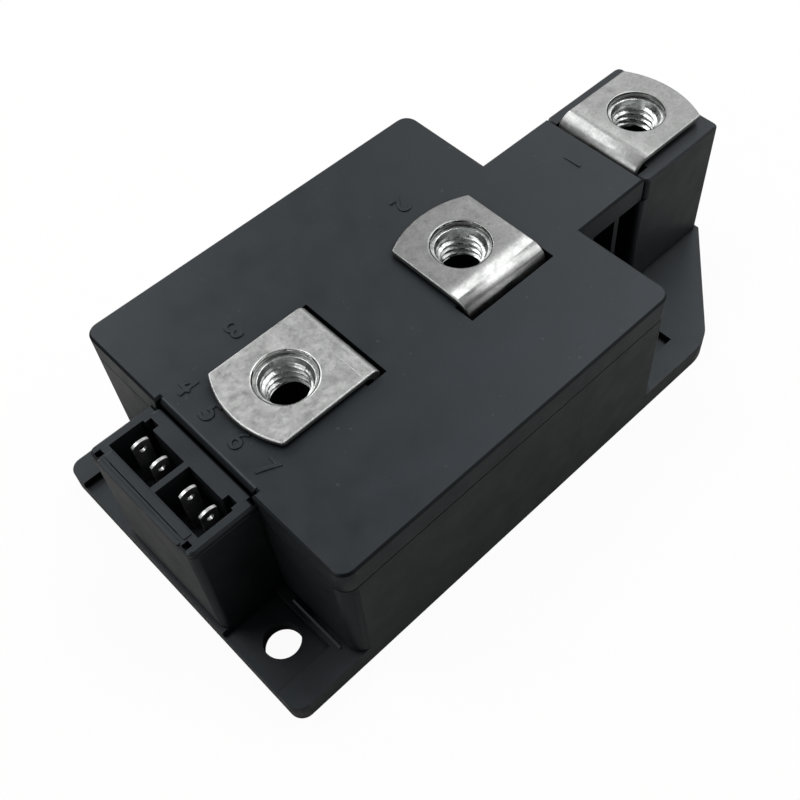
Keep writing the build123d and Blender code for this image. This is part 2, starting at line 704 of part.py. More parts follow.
def assemble():
    """All sub-parts by name."""
    parts = {
        "housing": housing(),
        "lid": lid(),
        "gate_socket": gate_socket(),
        "base_plate": base_plate(),
        "terminal_1": terminal_1(),
        "terminal_2": terminal_2(),
        "terminal_3": terminal_3(),
        "cathode_link": cathode_link(),
    }
    for number, y in ((4, pin_outer_y), (5, pin_inner_y), (6, -pin_inner_y), (7, -pin_outer_y)):
        parts[f"gate_pin_{number}"] = gate_pin(y)
    for number, x in ((1, terminal_1_x), (2, terminal_2_x), (3, terminal_3_x)):
        parts[f"terminal_nut_{number}"] = terminal_nut(x)

    ceramic_a_x1 = leg_3_x + ceramic_margin
    parts["ceramic_a"] = ceramic(stack_a_x - anode_half_width - ceramic_margin, ceramic_a_x1)
    parts["ceramic_b"] = ceramic(stack_b_x - anode_b_overrun - ceramic_margin,
                                 stack_b_x + anode_half_width + ceramic_margin)
    for letter, x in (("a", stack_a_x), ("b", stack_b_x)):
        parts[f"molybdenum_disc_{letter}"] = rod(x, 0, anode_top_z, moly_top_z, moly_radius)
        parts[f"thyristor_wafer_{letter}"] = rod(x, 0, moly_top_z, wafer_top_z, wafer_radius)
        parts[f"cathode_disc_{letter}"] = ring(x, wafer_top_z, cathode_top_z, cathode_radius,
                                               gate_hole_radius)
        parts[f"gate_contact_{letter}"] = gate_contact(x)
        parts[f"insulator_{letter}"] = insulator(x)
        parts[f"disc_springs_{letter}"] = disc_springs(x)
        parts[f"clamp_bar_{letter}"] = clamp_bar(x)
    parts["clamp_screws"] = clamp_screws()
    parts.update(leads())

    cast_in = ["terminal_1", "terminal_3", "cathode_link", "ceramic_a", "ceramic_b"]
    cast_in += ["gate_lead_4", "cathode_lead_5", "cathode_lead_6", "gate_lead_7"]
    for letter in "ab":
        cast_in += [f"molybdenum_disc_{letter}", f"thyristor_wafer_{letter}", f"cathode_disc_{letter}"]
        cast_in.append(f"gate_contact_{letter}")
    solids = [parts[name] for name in cast_in]
    solids += parts["clamp_screws"]
    parts["silicone_gel"] = silicone_gel(solids)
    return parts


def main():
    os.makedirs("parts", exist_ok=True)
    for name, shape in assemble().items():
        if isinstance(shape, list):
            shape = Compound(children=shape)
        export_step(shape, f"parts/{name}.step")


main()
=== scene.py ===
# Thyristor module: finishes, threaded nuts, moulded rails, lid digits, light and camera round the CAD frame.
# The scene is in metres, and the sizes written here are in millimetres unless a note says otherwise. +X runs
# from the gate socket to terminal 1, +Y to the left and +Z up.
import math

import bmesh
import bpy
import numpy as np
from mathutils import Matrix, Vector


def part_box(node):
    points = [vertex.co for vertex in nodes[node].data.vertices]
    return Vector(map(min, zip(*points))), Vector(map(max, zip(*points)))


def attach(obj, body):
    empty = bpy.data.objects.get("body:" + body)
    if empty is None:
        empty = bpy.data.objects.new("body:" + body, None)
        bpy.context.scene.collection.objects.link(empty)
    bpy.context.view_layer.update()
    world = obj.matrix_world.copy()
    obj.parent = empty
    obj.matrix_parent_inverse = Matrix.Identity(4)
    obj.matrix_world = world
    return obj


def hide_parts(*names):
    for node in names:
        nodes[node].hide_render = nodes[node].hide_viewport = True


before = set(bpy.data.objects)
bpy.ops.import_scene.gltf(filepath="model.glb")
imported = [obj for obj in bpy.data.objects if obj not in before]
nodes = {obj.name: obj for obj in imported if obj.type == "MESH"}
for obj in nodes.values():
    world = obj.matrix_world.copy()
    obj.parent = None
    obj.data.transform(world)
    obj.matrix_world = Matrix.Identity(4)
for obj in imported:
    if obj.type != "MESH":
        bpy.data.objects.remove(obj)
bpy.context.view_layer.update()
mm = 0.001
print("frame loaded:", len(nodes), "nodes")


def boxOf(name):
    # a node's lowest and highest corner, in millimetres
    return [np.array(corner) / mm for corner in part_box(name)]


def middleOf(name):
    return sum(boxOf(name)) / 2


lidTop = boxOf("lid")[1][2]


def addNode(tree, kind, settings):
    # a setting names a property of the node or an input; a node or a socket given as its value is linked
    node = tree.nodes.new("ShaderNode" + kind)
    for name, value in settings.items():
        if isinstance(value, bpy.types.Node):
            value = next(output for output in value.outputs if output.enabled)
        if isinstance(value, bpy.types.NodeSocket):
            tree.links.new(value, node.inputs[name])
        elif isinstance(name, str) and hasattr(node, name):
            setattr(node, name, value)
        else:
            node.inputs[name].default_value = value
    return node


def linear(hexColour, shade=1.0):
    # sRGB hex to linear light, as the shader's colours expect, times a shade
    channels = [int(hexColour[i:i + 2], 16) / 255 for i in (1, 3, 5)]
    light = [c / 12.92 if c <= 0.04045 else ((c + 0.055) / 1.055) ** 2.4 for c in channels]
    return [c * shade for c in light] + [1.0]


def cycles(sizeMm):
    # noise scale, in cycles per metre, whose features are that many millimetres wide
    return 1000.0 / sizeMm


def clearTree(owner):
    # the empty node tree of a material or the world
    owner.use_nodes = True
    owner.node_tree.nodes.clear()
    return owner.node_tree


def newMaterial(name):
    material = bpy.data.materials.new(name)
    tree = clearTree(material)
    return material, tree, addNode(tree, "TexCoord", {}).outputs["Object"]


def addShader(tree, settings):
    addNode(tree, "OutputMaterial", {"Surface": addNode(tree, "BsdfPrincipled", settings)})


# Patterns are written as the settings of their nodes: a noise, the spread of its values and a bump
softSpread = {"From Min": 0.3, "From Max": 0.7}


def patches(tree, place, noise, spread):
    # a factor that wanders with the noise, its values spread over 0 to 1 or over the spread's own ends
    source = addNode(tree, "TexNoise", {**noise, "Vector": place})
    return addNode(tree, "MapRange", {**spread, "Value": source})


def patchColour(tree, place, noise, spread, under, over):
    # patches of the colour over, laid on the colour under or on what makes it
    if isinstance(under, str):
        under = linear(under)
    factor = patches(tree, place, noise, spread)
    return addNode(tree, "Mix", {"data_type": "RGBA", "Factor": factor, "A": under, "B": linear(over)})


def relief(tree, place, noise, bump, under=None):
    # noise raised as bumps, on top of another normal where one is given
    settings = {**bump, "Height": addNode(tree, "TexNoise", {**noise, "Vector": place})}
    if under is not None:
        settings["Normal"] = under
    return addNode(tree, "Bump", settings)


# Glass-filled nylon, injection moulded: near-black with a faint cool sheen, flow marks a centimetre or two
# wide and a little dust in specks. Its colour and gloss carry painted shade where a wall, a step or a strap
# stands close. The real spark-eroded grain is finer than 0.35 mm, and it is drawn that coarse to show
nylonLook = {
    "lid": {"dark": "#0e1113", "light": "#131619", "dust": "#454b4f", "dustAmount": 0.35, "gloss": 0.34,
            "shadeReachMm": 2.0, "paintedShadeLevel": 0.35, "rimMm": (0.48, 0.40, 0.10, 0.03), "rimShade": 0.8},
    "housing": {"dark": "#0e0f11", "light": "#131517", "dust": "#38393b", "dustAmount": 0.2, "gloss": 0.34,
                "shadeReachMm": 1.2, "paintedShadeLevel": 0.35},
    "socket": {"dark": "#111315", "light": "#181a1c", "dust": "#3c3e40", "dustAmount": 0.2, "gloss": 0.30,
               "shadeReachMm": 1.4, "paintedShadeLevel": 0.6},
    "sheen": "#ebf6ff",
    "flow": {"Scale": cycles(16.0), "Detail": 4.0, "Roughness": 0.6, "Distortion": 0.6},
    "specks": {"Scale": cycles(1.1), "Detail": 2.0, "Roughness": 0.6},
    "speckSpread": {"From Min": 0.70, "From Max": 0.78},
    "wear": {"Scale": cycles(6.0), "Detail": 3.0, "Roughness": 0.6},
    "wearSpread": {**softSpread, "To Min": 0.37, "To Max": 0.48},  # the roughness it wanders over
    "openSamples": 8,
    "openSpread": {"From Min": 0.35, "From Max": 0.9},  # how open a place is, from full painted shade to none
    "ripple": {"Scale": cycles(9.0), "Detail": 1.0, "Roughness": 0.4},
    "rippleBump": {"Strength": 0.6, "Distance": 0.05 * mm},
    "grain": {"Scale": cycles(0.35), "Detail": 2.0, "Roughness": 0.6},
    "grainBump": {"Strength": 0.8, "Distance": 0.012 * mm},
}


def paintedRimShade(tree, place, own, unshaded):
    # painted shade on the broken top edge, between heights a to d, which are rimMm under the lid's top: the
    # unshaded share times (1 - rimShade * rise over a..b * fall over c..d)
    a, b, c, d = ((lidTop - depth) * mm for depth in own["rimMm"])
    height = addNode(tree, "SeparateXYZ", {"Vector": place}).outputs["Z"]
    rise = addNode(tree, "MapRange", {"Value": height, "From Min": a, "From Max": b})
    fade = {"From Min": c, "From Max": d, "To Min": 1.0, "To Max": 0.0}
    fall = addNode(tree, "MapRange", {**fade, "Value": height})
    rim = addNode(tree, "Math", {"operation": "MULTIPLY", 0: rise, 1: fall})
    kept = addNode(tree, "MapRange", {"Value": rim, "To Min": 1.0, "To Max": 1 - own["rimShade"]})
    return addNode(tree, "Math", {"operation": "MULTIPLY", 0: unshaded, 1: kept})


def mouldedNylon(part):
    look, own = nylonLook, nylonLook[part]
    material, tree, place = newMaterial(f"mouldedNylon_{part}")
    colour = patchColour(tree, place, look["flow"], softSpread, own["dark"], own["light"])
    dusty = {**look["speckSpread"], "To Max": own["dustAmount"]}
    colour = patchColour(tree, place, look["specks"], dusty, colour, own["dust"])
    # painted shade: colour and gloss are darkened where ambient occlusion finds a wall, a step or a strap
    # close by
    nearby = {"samples": look["openSamples"], "Distance": own["shadeReachMm"] * mm}
    openness = addNode(tree, "AmbientOcclusion", nearby).outputs["AO"]
    unshaded = addNode(tree, "MapRange", {**look["openSpread"], "Value": openness})
    # painted shade along the lid's top edge
    if "rimMm" in own:
        unshaded = paintedRimShade(tree, place, own, unshaded)
    shadeColour = linear(own["dark"], own["paintedShadeLevel"])
    gloss = {"To Min": own["gloss"] * own["paintedShadeLevel"], "To Max": own["gloss"]}
    coarse = relief(tree, place, look["ripple"], look["rippleBump"])
    addShader(tree, {
        "Base Color": addNode(tree, "Mix", {"data_type": "RGBA", "Factor": unshaded, "A": shadeColour, "B": colour}),
        "Specular IOR Level": addNode(tree, "MapRange", {**gloss, "Value": unshaded}),
        "Specular Tint": linear(look["sheen"]),
        "Roughness": patches(tree, place, look["wear"], look["wearSpread"]),
        "Normal": relief(tree, place, look["grain"], look["grainBump"], coarse),
    })
    return material


# Nickel-plated copper, stamped and bent: grey with soft clouds, speckled by handling, with dull stains
nickelLook = {
    "base": "#b9bab9",
    "cloud": "#a3a4a3",
    "stain": "#6f706f",
    "clouds": {"Scale": cycles(3.2), "Detail": 5.0, "Roughness": 0.65, "Distortion": 0.4},
    "cloudSpread": {"From Min": 0.35, "From Max": 0.7},
    "specks": {"Scale": cycles(0.55), "Detail": 3.0, "Roughness": 0.7},
    "speckSpread": {"From Min": 0.35, "From Max": 0.7, "To Max": 0.35},
    "stains": {"Scale": cycles(1.6), "Detail": 4.0, "Roughness": 0.7},
    "stainSpread": {"From Min": 0.62, "From Max": 0.74, "To Max": 0.6},
    "wear": {"Scale": cycles(1.4), "Detail": 4.0, "Roughness": 0.7},
    "roughness": 0.36,
    "smoother": 0.07,  # how far the wear leaves that roughness, down and up
    "rougher": 0.12,
    "dents": {"Scale": cycles(3.0), "Detail": 2.0, "Roughness": 0.5},
    "dentBump": {"Strength": 0.6, "Distance": 0.05 * mm},
    "grain": {"Scale": cycles(0.45), "Detail": 3.0, "Roughness": 0.6},
    "grainBump": {"Strength": 0.7, "Distance": 0.012 * mm},
}
# Painted light and shade on the straps: each flat is darkened to its own tone, set strap by strap, and over
# the bend's stretch it goes to bendTone, a painted highlight on terminals 1 and 2 and a painted shade on 3.
# Two of them are drawn down a little over crownMm. The bend's stretch and crownMm run from the middle of the
# strap's nut, along x (axis 0) or y (axis 1)
strapLooks = {
    "terminal_1": {"nut": "terminal_nut_1", "axis": 0, "tone": 0.63, "bendTone": 0.86, "roughness": 0.42,
                   "bendLightMm": (-4.9, -7.1), "crownMm": (-6.5, -9.5), "slope": 0.32},
    "terminal_2": {"nut": "terminal_nut_2", "axis": 1, "tone": 0.56, "bendTone": 0.66, "roughness": 0.33,
                   "bendLightMm": (-4.4, -6.2), "crownMm": (-4.9, -9.4), "slope": 0.22},
    "terminal_3": {"nut": "terminal_nut_3", "axis": 0, "tone": 0.95, "bendTone": 0.84, "roughness": 0.36,
                   "bendLightMm": (7.9, 9.1)},
}


def strapSpan(strap, key):
    # where a stretch of the strap starts and ends along its axis, in metres
    return [(middleOf(strap["nut"])[strap["axis"]] + distance) * mm for distance in strap[key]]


def paintBendLight(tree, along, strap, colour):
    # painted light and shade: the colour, darkened to tone before the bend's stretch and to bendTone after it
    low, high = strapSpan(strap, "bendLightMm")
    darker = {"To Min": 1 - strap["tone"], "To Max": 1 - strap["bendTone"]}
    shade = addNode(tree, "MapRange", {**darker, "Value": along, "From Min": low, "From Max": high})
    return addNode(tree, "Mix", {"data_type": "RGBA", "Factor": shade, "A": colour, "B": linear("#000000")})


def crowned(tree, along, strap):
    # height in metres over u = 0..1 across the crown: -slope * width * (u / 2 - sin(2 pi u) / (4 pi))
    start, end = strapSpan(strap, "crownMm")
    u = addNode(tree, "MapRange", {"Value": along, "From Min": start, "From Max": end})
    turn = addNode(tree, "Math", {"operation": "MULTIPLY", 0: u, 1: 2 * math.pi})
    sine = addNode(tree, "Math", {"operation": "SINE", 0: turn})
    wave = addNode(tree, "Math", {"operation": "MULTIPLY", 0: sine, 1: -1 / (4 * math.pi)})
    ramp = addNode(tree, "Math", {"operation": "MULTIPLY_ADD", 0: u, 1: 1 / 2, 2: wave})
    height = addNode(tree, "Math", {"operation": "MULTIPLY", 0: ramp, 1: -strap["slope"] * abs(end - start)})
    return addNode(tree, "Bump", {"Strength": 1.0, "Distance": 1.0, "Height": height})


def platedNickel(name="platedNickel", strap=None):
    look = nickelLook
    material, tree, place = newMaterial(name)
    colour = patchColour(tree, place, look["clouds"], look["cloudSpread"], look["base"], look["cloud"])
    colour = patchColour(tree, place, look["specks"], look["speckSpread"], colour, look["stain"])
    colour = patchColour(tree, place, look["stains"], look["stainSpread"], colour, look["stain"])
    middle = look["roughness"]
    crown = None
    if strap:
        middle = strap["roughness"]
        along = addNode(tree, "SeparateXYZ", {"Vector": place}).outputs[strap["axis"]]
        # painted highlight and shade along the strap toward its bend
        colour = paintBendLight(tree, along, strap, colour)
        if "crownMm" in strap:
            crown = crowned(tree, along, strap)
    rubbed = {**softSpread, "To Min": middle - look["smoother"], "To Max": middle + look["rougher"]}
    soft = relief(tree, place, look["dents"], look["dentBump"], crown)
    addShader(tree, {
        "Base Color": colour,
        "Metallic": 1.0,
        "Roughness": patches(tree, place, look["wear"], rubbed),
        "Normal": relief(tree, place, look["grain"], look["grainBump"], soft),
    })
    return material


# Zinc-plated steel, machined: brighter and tighter reflections than the straps, broken up by small blotches
zincLook = {
    "base": "#cfd1d0",
    "shade": "#8d908f",
    "clouds": {"Scale": cycles(0.9), "Detail": 4.0, "Roughness": 0.6},
    "cloudSpread": {"From Min": 0.3, "From Max": 0.75},
    "wear": {"Scale": cycles(1.1), "Detail": 3.0, "Roughness": 0.6},
    "wearSpread": {**softSpread, "To Min": 0.21, "To Max": 0.39},
    "blotches": {"Scale": cycles(1.3), "Detail": 2.0, "Roughness": 0.6},
    "blotchBump": {"Strength": 0.6, "Distance": 0.10 * mm},
    "grain": {"Scale": cycles(0.25), "Detail": 2.0, "Roughness": 0.5},
    "grainBump": {"Strength": 0.6, "Distance": 0.008 * mm},
}


def zincSteel():
    look = zincLook
    material, tree, place = newMaterial("zincSteel")
    colour = patchColour(tree, place, look["clouds"], look["cloudSpread"], look["base"], look["shade"])
    blotch = relief(tree, place, look["blotches"], look["blotchBump"])
    addShader(tree, {
        "Base Color": colour,
        "Metallic": 1.0,
        "Roughness": patches(tree, place, look["wear"], look["wearSpread"]),
        "Normal": relief(tree, place, look["grain"], look["grainBump"], blotch),
    })
    return material


# The parts inside have one plain finish each: two shades in soft patches sizeMm wide, and a faint grain
innerLooks = {
    # matt grey metal with the clouds of lapping
    "lappedMolybdenum": {"base": "#8e9094", "shade": "#75777b", "sizeMm": 2.0, "metallic": 1.0,
                         "roughness": 0.35},
    # dark mirror
    "polishedSilicon": {"base": "#3a3c48", "shade": "#31333c", "sizeMm": 6.0, "metallic": 0.6,
                        "roughness": 0.12},
    # off-white and dull, like unglazed porcelain
    "groundAlumina": {"base": "#e8e6df", "shade": "#d8d5cc", "sizeMm": 1.2, "metallic": 0.0,
                      "roughness": 0.55},
    # blue-grey heat tint on rolled steel
    "bluedSpringSteel": {"base": "#4a4d57", "shade": "#3b3c42", "sizeMm": 3.0, "metallic": 1.0,
                         "roughness": 0.32},
    # extruded red rubber round the leads
    "siliconeInsulation": {"base": "#8a1f1a", "shade": "#731813", "sizeMm": 1.5, "metallic": 0.0,
                           "roughness": 0.42},
    # cast gel with a wet gloss
    "silicone": {"base": "#c9c7bf", "shade": "#bdbab1", "sizeMm": 8.0, "metallic": 0.0,
                 "roughness": 0.22},
}
innerGrain = {
    "patches": {"Detail": 4.0, "Roughness": 0.6},
    "wear": 0.05,  # how far the patches leave the roughness, down and up
    "grain": {"Scale": cycles(0.4), "Detail": 2.0, "Roughness": 0.5},
    "grainBump": {"Strength": 0.5, "Distance": 0.01 * mm},
}


def innerMaterial(name):
    look = {**innerGrain, **innerLooks[name]}
    material, tree, place = newMaterial(name)
    noise = {**look["patches"], "Scale": cycles(look["sizeMm"])}
    low, high = look["roughness"] - look["wear"], look["roughness"] + look["wear"]
    addShader(tree, {
        "Base Color": patchColour(tree, place, noise, softSpread, look["base"], look["shade"]),
        "Metallic": look["metallic"],
        "Roughness": patches(tree, place, noise, {**softSpread, "To Min": low, "To Max": high}),
        "Normal": relief(tree, place, look["grain"], look["grainBump"]),
    })
    return material


def dress(material, *names):
    for name in names:
        mesh = nodes[name].data
        mesh.materials.clear()
        mesh.materials.append(material)


# Every moulded or stamped edge is broken a little, which is what catches the light along it
edgeLook = {
    "widthMm": {"lid": 0.14, "housing": 0.16, "gate_socket": 0.14,
                "terminal_1": 0.28, "terminal_2": 0.28, "terminal_3": 0.28},
    "segments": 2,
    "degrees": 40.0,  # edges sharper than this are broken
    "weldMm": 0.002,  # a CAD mesh is loose triangles, which are joined at this distance first
}


def breakEdges(node, widthMm):
    weld = node.modifiers.new("weld", "WELD")
    weld.merge_threshold = edgeLook["weldMm"] * mm
    bevel = node.modifiers.new("brokenEdge", "BEVEL")
    bevel.width = widthMm * mm
    bevel.segments = edgeLook["segments"]
    bevel.limit_method = "ANGLE"
    bevel.angle_limit = math.radians(edgeLook["degrees"])
    bevel.harden_normals = True
    bevel.miter_outer = "MITER_ARC"


lidNylon = mouldedNylon("lid")
housingNylon = mouldedNylon("housing")
socketNylon = mouldedNylon("socket")
nickel = platedNickel()
strapNickel = {name: platedNickel(f"platedNickel_{name}", strap) for name, strap in strapLooks.items()}
zinc = zincSteel()
inner = {name: innerMaterial(name) for name in innerLooks}
dress(lidNylon, "lid")
dress(housingNylon, "housing")
dress(socketNylon, "gate_socket")
dress(nickel, "base_plate", "cathode_link")
dress(nickel, "gate_pin_4", "gate_pin_5", "gate_pin_6", "gate_pin_7", "gate_contact_a", "gate_contact_b")
for name, material in strapNickel.items():
    dress(material, name)
dress(zinc, "clamp_screws")
for letter in "ab":
    dress(inner["lappedMolybdenum"], f"molybdenum_disc_{letter}", f"cathode_disc_{letter}")
    dress(inner["polishedSilicon"], f"thyristor_wafer_{letter}")
    dress(inner["groundAlumina"], f"ceramic_{letter}", f"insulator_{letter}")
    dress(inner["bluedSpringSteel"], f"disc_springs_{letter}", f"clamp_bar_{letter}")
dress(inner["siliconeInsulation"], "gate_lead_4", "cathode_lead_5", "cathode_lead_6", "gate_lead_7")
dress(inner["silicone"], "silicone_gel")
for name, width in edgeLook["widthMm"].items():
    breakEdges(nodes[name], width)
print("materials assigned")


weldDistance = 1e-7  # metres, under which two points of a new piece are one


def gridMesh(name, points, closeU=False, closeV=False):
    # points is an array (u, v, 3); neighbours are joined by quads, and a closed direction wraps round
    countU, countV, _ = points.shape
    u = np.arange(countU if closeU else countU - 1)
    v = np.arange(countV if closeV else countV - 1)
    a, b = np.meshgrid(u, v, indexing="ij")
    nextA, nextB = (a + 1) % countU, (b + 1) % countV
    corners = np.stack([a * countV + b, nextA * countV + b, nextA * countV + nextB, a * countV + nextB], -1)
    mesh = bpy.data.meshes.new(name)
    mesh.from_pydata(points.reshape(-1, 3).tolist(), [], corners.reshape(-1, 4).tolist())
    mesh.update()
    return mesh


def sealMesh(mesh):
    # poles become one point, open ends are filled and the faces turned outwards
    work = bmesh.new()
    work.from_mesh(mesh)
    bmesh.ops.remove_doubles(work, verts=work.verts, dist=weldDistance)
    bmesh.ops.holes_fill(work, edges=[edge for edge in work.edges if edge.is_boundary], sides=0)
    bmesh.ops.recalc_face_normals(work, faces=work.faces)
    work.to_mesh(mesh)
    work.free()
    return mesh


def addPiece(name, mesh, material):
    piece = bpy.data.objects.new(name, mesh)
    bpy.context.scene.collection.objects.link(piece)
    mesh.materials.clear()
    mesh.materials.append(material)
    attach(piece, "root")
    return piece


# Captive nut: metric thread, coarse pitch, below a wide mouth
nutSizes = {
    "acrossFlats": 13.0,
    "height": 6.5,
    "faceRadius": 6.2,      # of the flat faces, past which the corners are chamfered
    "cornerSlope": 0.58,    # how far a corner drops for each millimetre past faceRadius
    "mouthRadius": 4.35,
    "mouthDepth": 0.9,
    "mouthChamfer": (0.06, 0.02),  # out and down
    "footDepth": 0.7,       # of the countersink at the bottom
    "pitch": 1.25,
    "minorRadius": 3.4,
    "majorRadius": 4.02,
    "flankGain": 1.5,       # the triangle wave times this, less flatShare, is clipped to root and crest
    "flatShare": 0.25,
    "runOut": 0.5,          # pitches over which the thread ends under the mouth
    "turnSteps": 96,
    "rowsPerPitch": 12,
}


def nutSurface(centre, topZ):
    # r(angle, v): v runs from the bottom countersink up the thread, over the mouth cone, across the top face,
    # down the hexagonal side and back under. The thread's radius is a triangle wave of (z / pitch - angle /
    # full turn), clipped flat at root and crest, and it runs out to the major radius at the top. The
    # hexagon's radius is half the flats divided by the cosine of the angle from the nearest flat's middle.
    look = nutSizes
    angle = np.linspace(0, 2 * np.pi, look["turnSteps"], endpoint=False)
    threadTop = topZ - look["mouthDepth"]
    bottomZ = topZ - look["height"]
    footZ = bottomZ + look["footDepth"]
    rows = int((threadTop - footZ) / look["pitch"] * look["rowsPerPitch"])
    z = np.linspace(footZ, threadTop, rows)
    turn = (z[None, :] / look["pitch"] - angle[:, None] / (2 * np.pi)) % 1.0
    wave = np.clip(np.abs(turn * 2 - 1) * look["flankGain"] - look["flatShare"], 0, 1)
    fade = np.clip((threadTop - z) / (look["runOut"] * look["pitch"]), 0, 1)[None, :]
    threadR = look["minorRadius"] + (look["majorRadius"] - look["minorRadius"]) * (1 - (1 - wave) * fade)
    flat = (angle + np.pi / 6) % (np.pi / 3) - np.pi / 6
    hexR = look["acrossFlats"] / 2 / np.cos(flat)
    crown = np.minimum(hexR, look["faceRadius"])
    drop = (hexR - crown) * look["cornerSlope"]
    ring = np.ones_like(angle)
    out, down = look["mouthChamfer"]
    profile = [(look["mouthRadius"] * ring, bottomZ * ring)]
    profile += [(threadR[:, i], z[i] * ring) for i in range(rows)]
    profile.append((look["mouthRadius"] * ring, (topZ - down) * ring))
    profile.append(((look["mouthRadius"] + out) * ring, topZ * ring))
    profile.append((crown, topZ * ring))
    profile.append((hexR, topZ - drop))
    profile.append((hexR, bottomZ + drop))
    profile.append((crown, bottomZ * ring))
    r = np.stack([radius for radius, _ in profile], 1)
    h = np.stack([height for _, height in profile], 1)
    x = centre[0] + r * np.cos(angle)[:, None]
    y = centre[1] + r * np.sin(angle)[:, None]
    return np.stack([x, y, h], -1) * mm


for number in (1, 2, 3):
    plain = f"terminal_nut_{number}"
    surface = nutSurface(middleOf(plain), boxOf(plain)[1][2])
    mesh = gridMesh(f"threaded_nut_{number}", surface, True, True)
    nut = addPiece(f"threaded_nut_{number}", mesh, zinc)
    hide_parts(f"terminal_nut_{number}")
print("nuts threaded")


# The front strap is folded tighter than its sheet bend: a skin over the bend fills the outer corner
foldLook = {
    "past": 0.23,        # how far the fold stands past the strap's leg
    "under": 0.003,      # how far its top lies under the strap's top, which it joins
    "radius": 1.5,
    "bendRadius": 2.8,   # outer radius of the strap's own bend
    "inside": 2.3,       # radius of the skin's back, which is buried in the strap
    "overlap": 0.8,      # how far the skin runs on inside the flat
    "half": 8.68,        # half its width
    "steps": 9,
    "edge": 0.28,
}


def foldedCorner():
    # section(v): along the flat, a quarter circle about (face - radius, top - radius), down the leg, and
    # back on a quarter circle of radius inside about the bend's own centre; u runs across the strap
    look = foldLook
    high = boxOf("terminal_3")[1]
    face, top = high[0] + look["past"], high[2] - look["under"]
    bendX, bendZ = high[0] - look["bendRadius"], high[2] - look["bendRadius"]
    turn = np.linspace(0, np.pi / 2, look["steps"])
    radius, inside = look["radius"], look["inside"]
    outer = np.stack([face - radius + radius * np.sin(turn), top - radius + radius * np.cos(turn)], -1)
    inner = np.stack([bendX + inside * np.cos(turn), bendZ + inside * np.sin(turn)], -1)
    back = bendX - look["overlap"]
    section = np.concatenate([[(back, top)], outer, [(face, bendZ)], inner, [(back, bendZ + inside)]])
    along = np.broadcast_to(np.array([[-look["half"]], [look["half"]]]), (2, len(section)))
    xz = np.broadcast_to(section, (2, len(section), 2))
    return np.stack([xz[..., 0], along, xz[..., 1]], -1) * mm


foldMesh = sealMesh(gridMesh("terminal_3_fold", foldedCorner(), False, True))
fold = addPiece("terminal_3_fold", foldMesh, strapNickel["terminal_3"])
breakEdges(fold, foldLook["edge"])
print("strap folded")


# Slim rails along Y that the mould leaves on the socket block, on the lid's notch beside it and by the
# front screw pads. Each has a section in x and z, and its ends are drawn in by endRound. Where it is round,
# those are the radii of its front and rear shoulder; a pad's rail has a step in front and then a slant
railLook = {"endRound": 0.12, "cornerSteps": 10}
socketRails = {  # x from the socket's front face, foot and top from the socket's top
    "socket_front_rail": {"x": (-0.12, 0.58), "foot": -0.3, "top": 0.16, "round": (0.12, 0.12), "half": 9.5},
    "socket_ledge_rail": {"x": (1.12, 2.48), "foot": -0.3, "top": 0.16, "round": (0.12, 0.12), "half": 9.5},
    "socket_rear_rail": {"x": (10.3, 11.92), "foot": -2.0, "top": 0.04, "round": (0.12, 0.5), "half": 10.6},
}
lidLip = {  # x from the lid's front face, foot and top from the lid's top, whose plane it just clears
    "x": (0.56, 1.6), "foot": -1.7, "top": 0.004, "round": (0.85, 0.02), "half": 10.9,
}
padRail = {  # x from the lid's front face, foot and top from the base
    "x": (-1.22, -0.82), "foot": 4.3, "top": 4.86, "step": 0.25, "slant": 0.30,
    "y": {"pad_edge_rail_right": (-26.9, -15.7), "pad_edge_rail_left": (15.7, 26.9)},
}


def railSurface(section, y0, y1):
    # p(u, v) = middle + scale(u) * (section(v) - middle) at y(u); scale is 0 at both ends, where the poles
    # close the rail, then a little under 1 at the same y, and 1 between
    drawn = railLook["endRound"]
    section = np.array(section)
    middle = section.mean(axis=0)
    size = np.ptp(section, axis=0).max()
    y = np.array([y0, y0, y0 + drawn, y1 - drawn, y1, y1])
    scale = np.array([0, 1 - 2 * drawn / size, 1, 1, 1 - 2 * drawn / size, 0])
    xz = middle + scale[:, None, None] * (section - middle)
    along = np.broadcast_to(y[:, None], xz.shape[:2])
    return np.stack([xz[..., 0], along, xz[..., 1]], -1) * mm


def railEdges(rail, faceX, baseZ):
    # front, rear, foot and top of a rail
    front, rear = rail["x"]
    return faceX + front, faceX + rear, baseZ + rail["foot"], baseZ + rail["top"]


def shoulderSection(rail, faceX, baseZ):
    # section(v): up one side, a quarter circle of radius a, the top, a quarter circle of radius b, down again
    x0, x1, foot, top = railEdges(rail, faceX, baseZ)
    a, b = rail["round"]
    turn = np.linspace(0, np.pi / 2, railLook["cornerSteps"])
    rise = np.stack([x0 + a - a * np.cos(turn), top - a + a * np.sin(turn)], -1)
    fall = np.stack([x1 - b + b * np.sin(turn), top - b + b * np.cos(turn)], -1)
    return np.concatenate([[(x0, foot)], rise, fall, [(x1, foot)]])


def padSection(rail, faceX):
    # section(v): up the front by the step, a slant to the top, along the top and down the rear
    x0, x1, foot, top = railEdges(rail, faceX, 0.0)
    return [(x0, foot), (x0, foot + rail["step"]), (x0 + rail["slant"], top), (x1, top), (x1, foot)]


def layRail(name, section, y, material):
    surface = railSurface(section, *y)
    addPiece(name, sealMesh(gridMesh(name, surface, False, True)), material)


socketFront, socketTop = boxOf("gate_socket")[0][0], boxOf("gate_socket")[1][2]
lidFront = boxOf("lid")[0][0]
for name, rail in socketRails.items():
    section = shoulderSection(rail, socketFront, socketTop)
    layRail(name, section, (-rail["half"], rail["half"]), socketNylon)
lip = shoulderSection(lidLip, lidFront, lidTop)
layRail("lid_notch_lip", lip, (-lidLip["half"], lidLip["half"]), lidNylon)
for name, y in padRail["y"].items():
    layRail(name, padSection(padRail, lidFront), y, socketNylon)
print("rails laid")


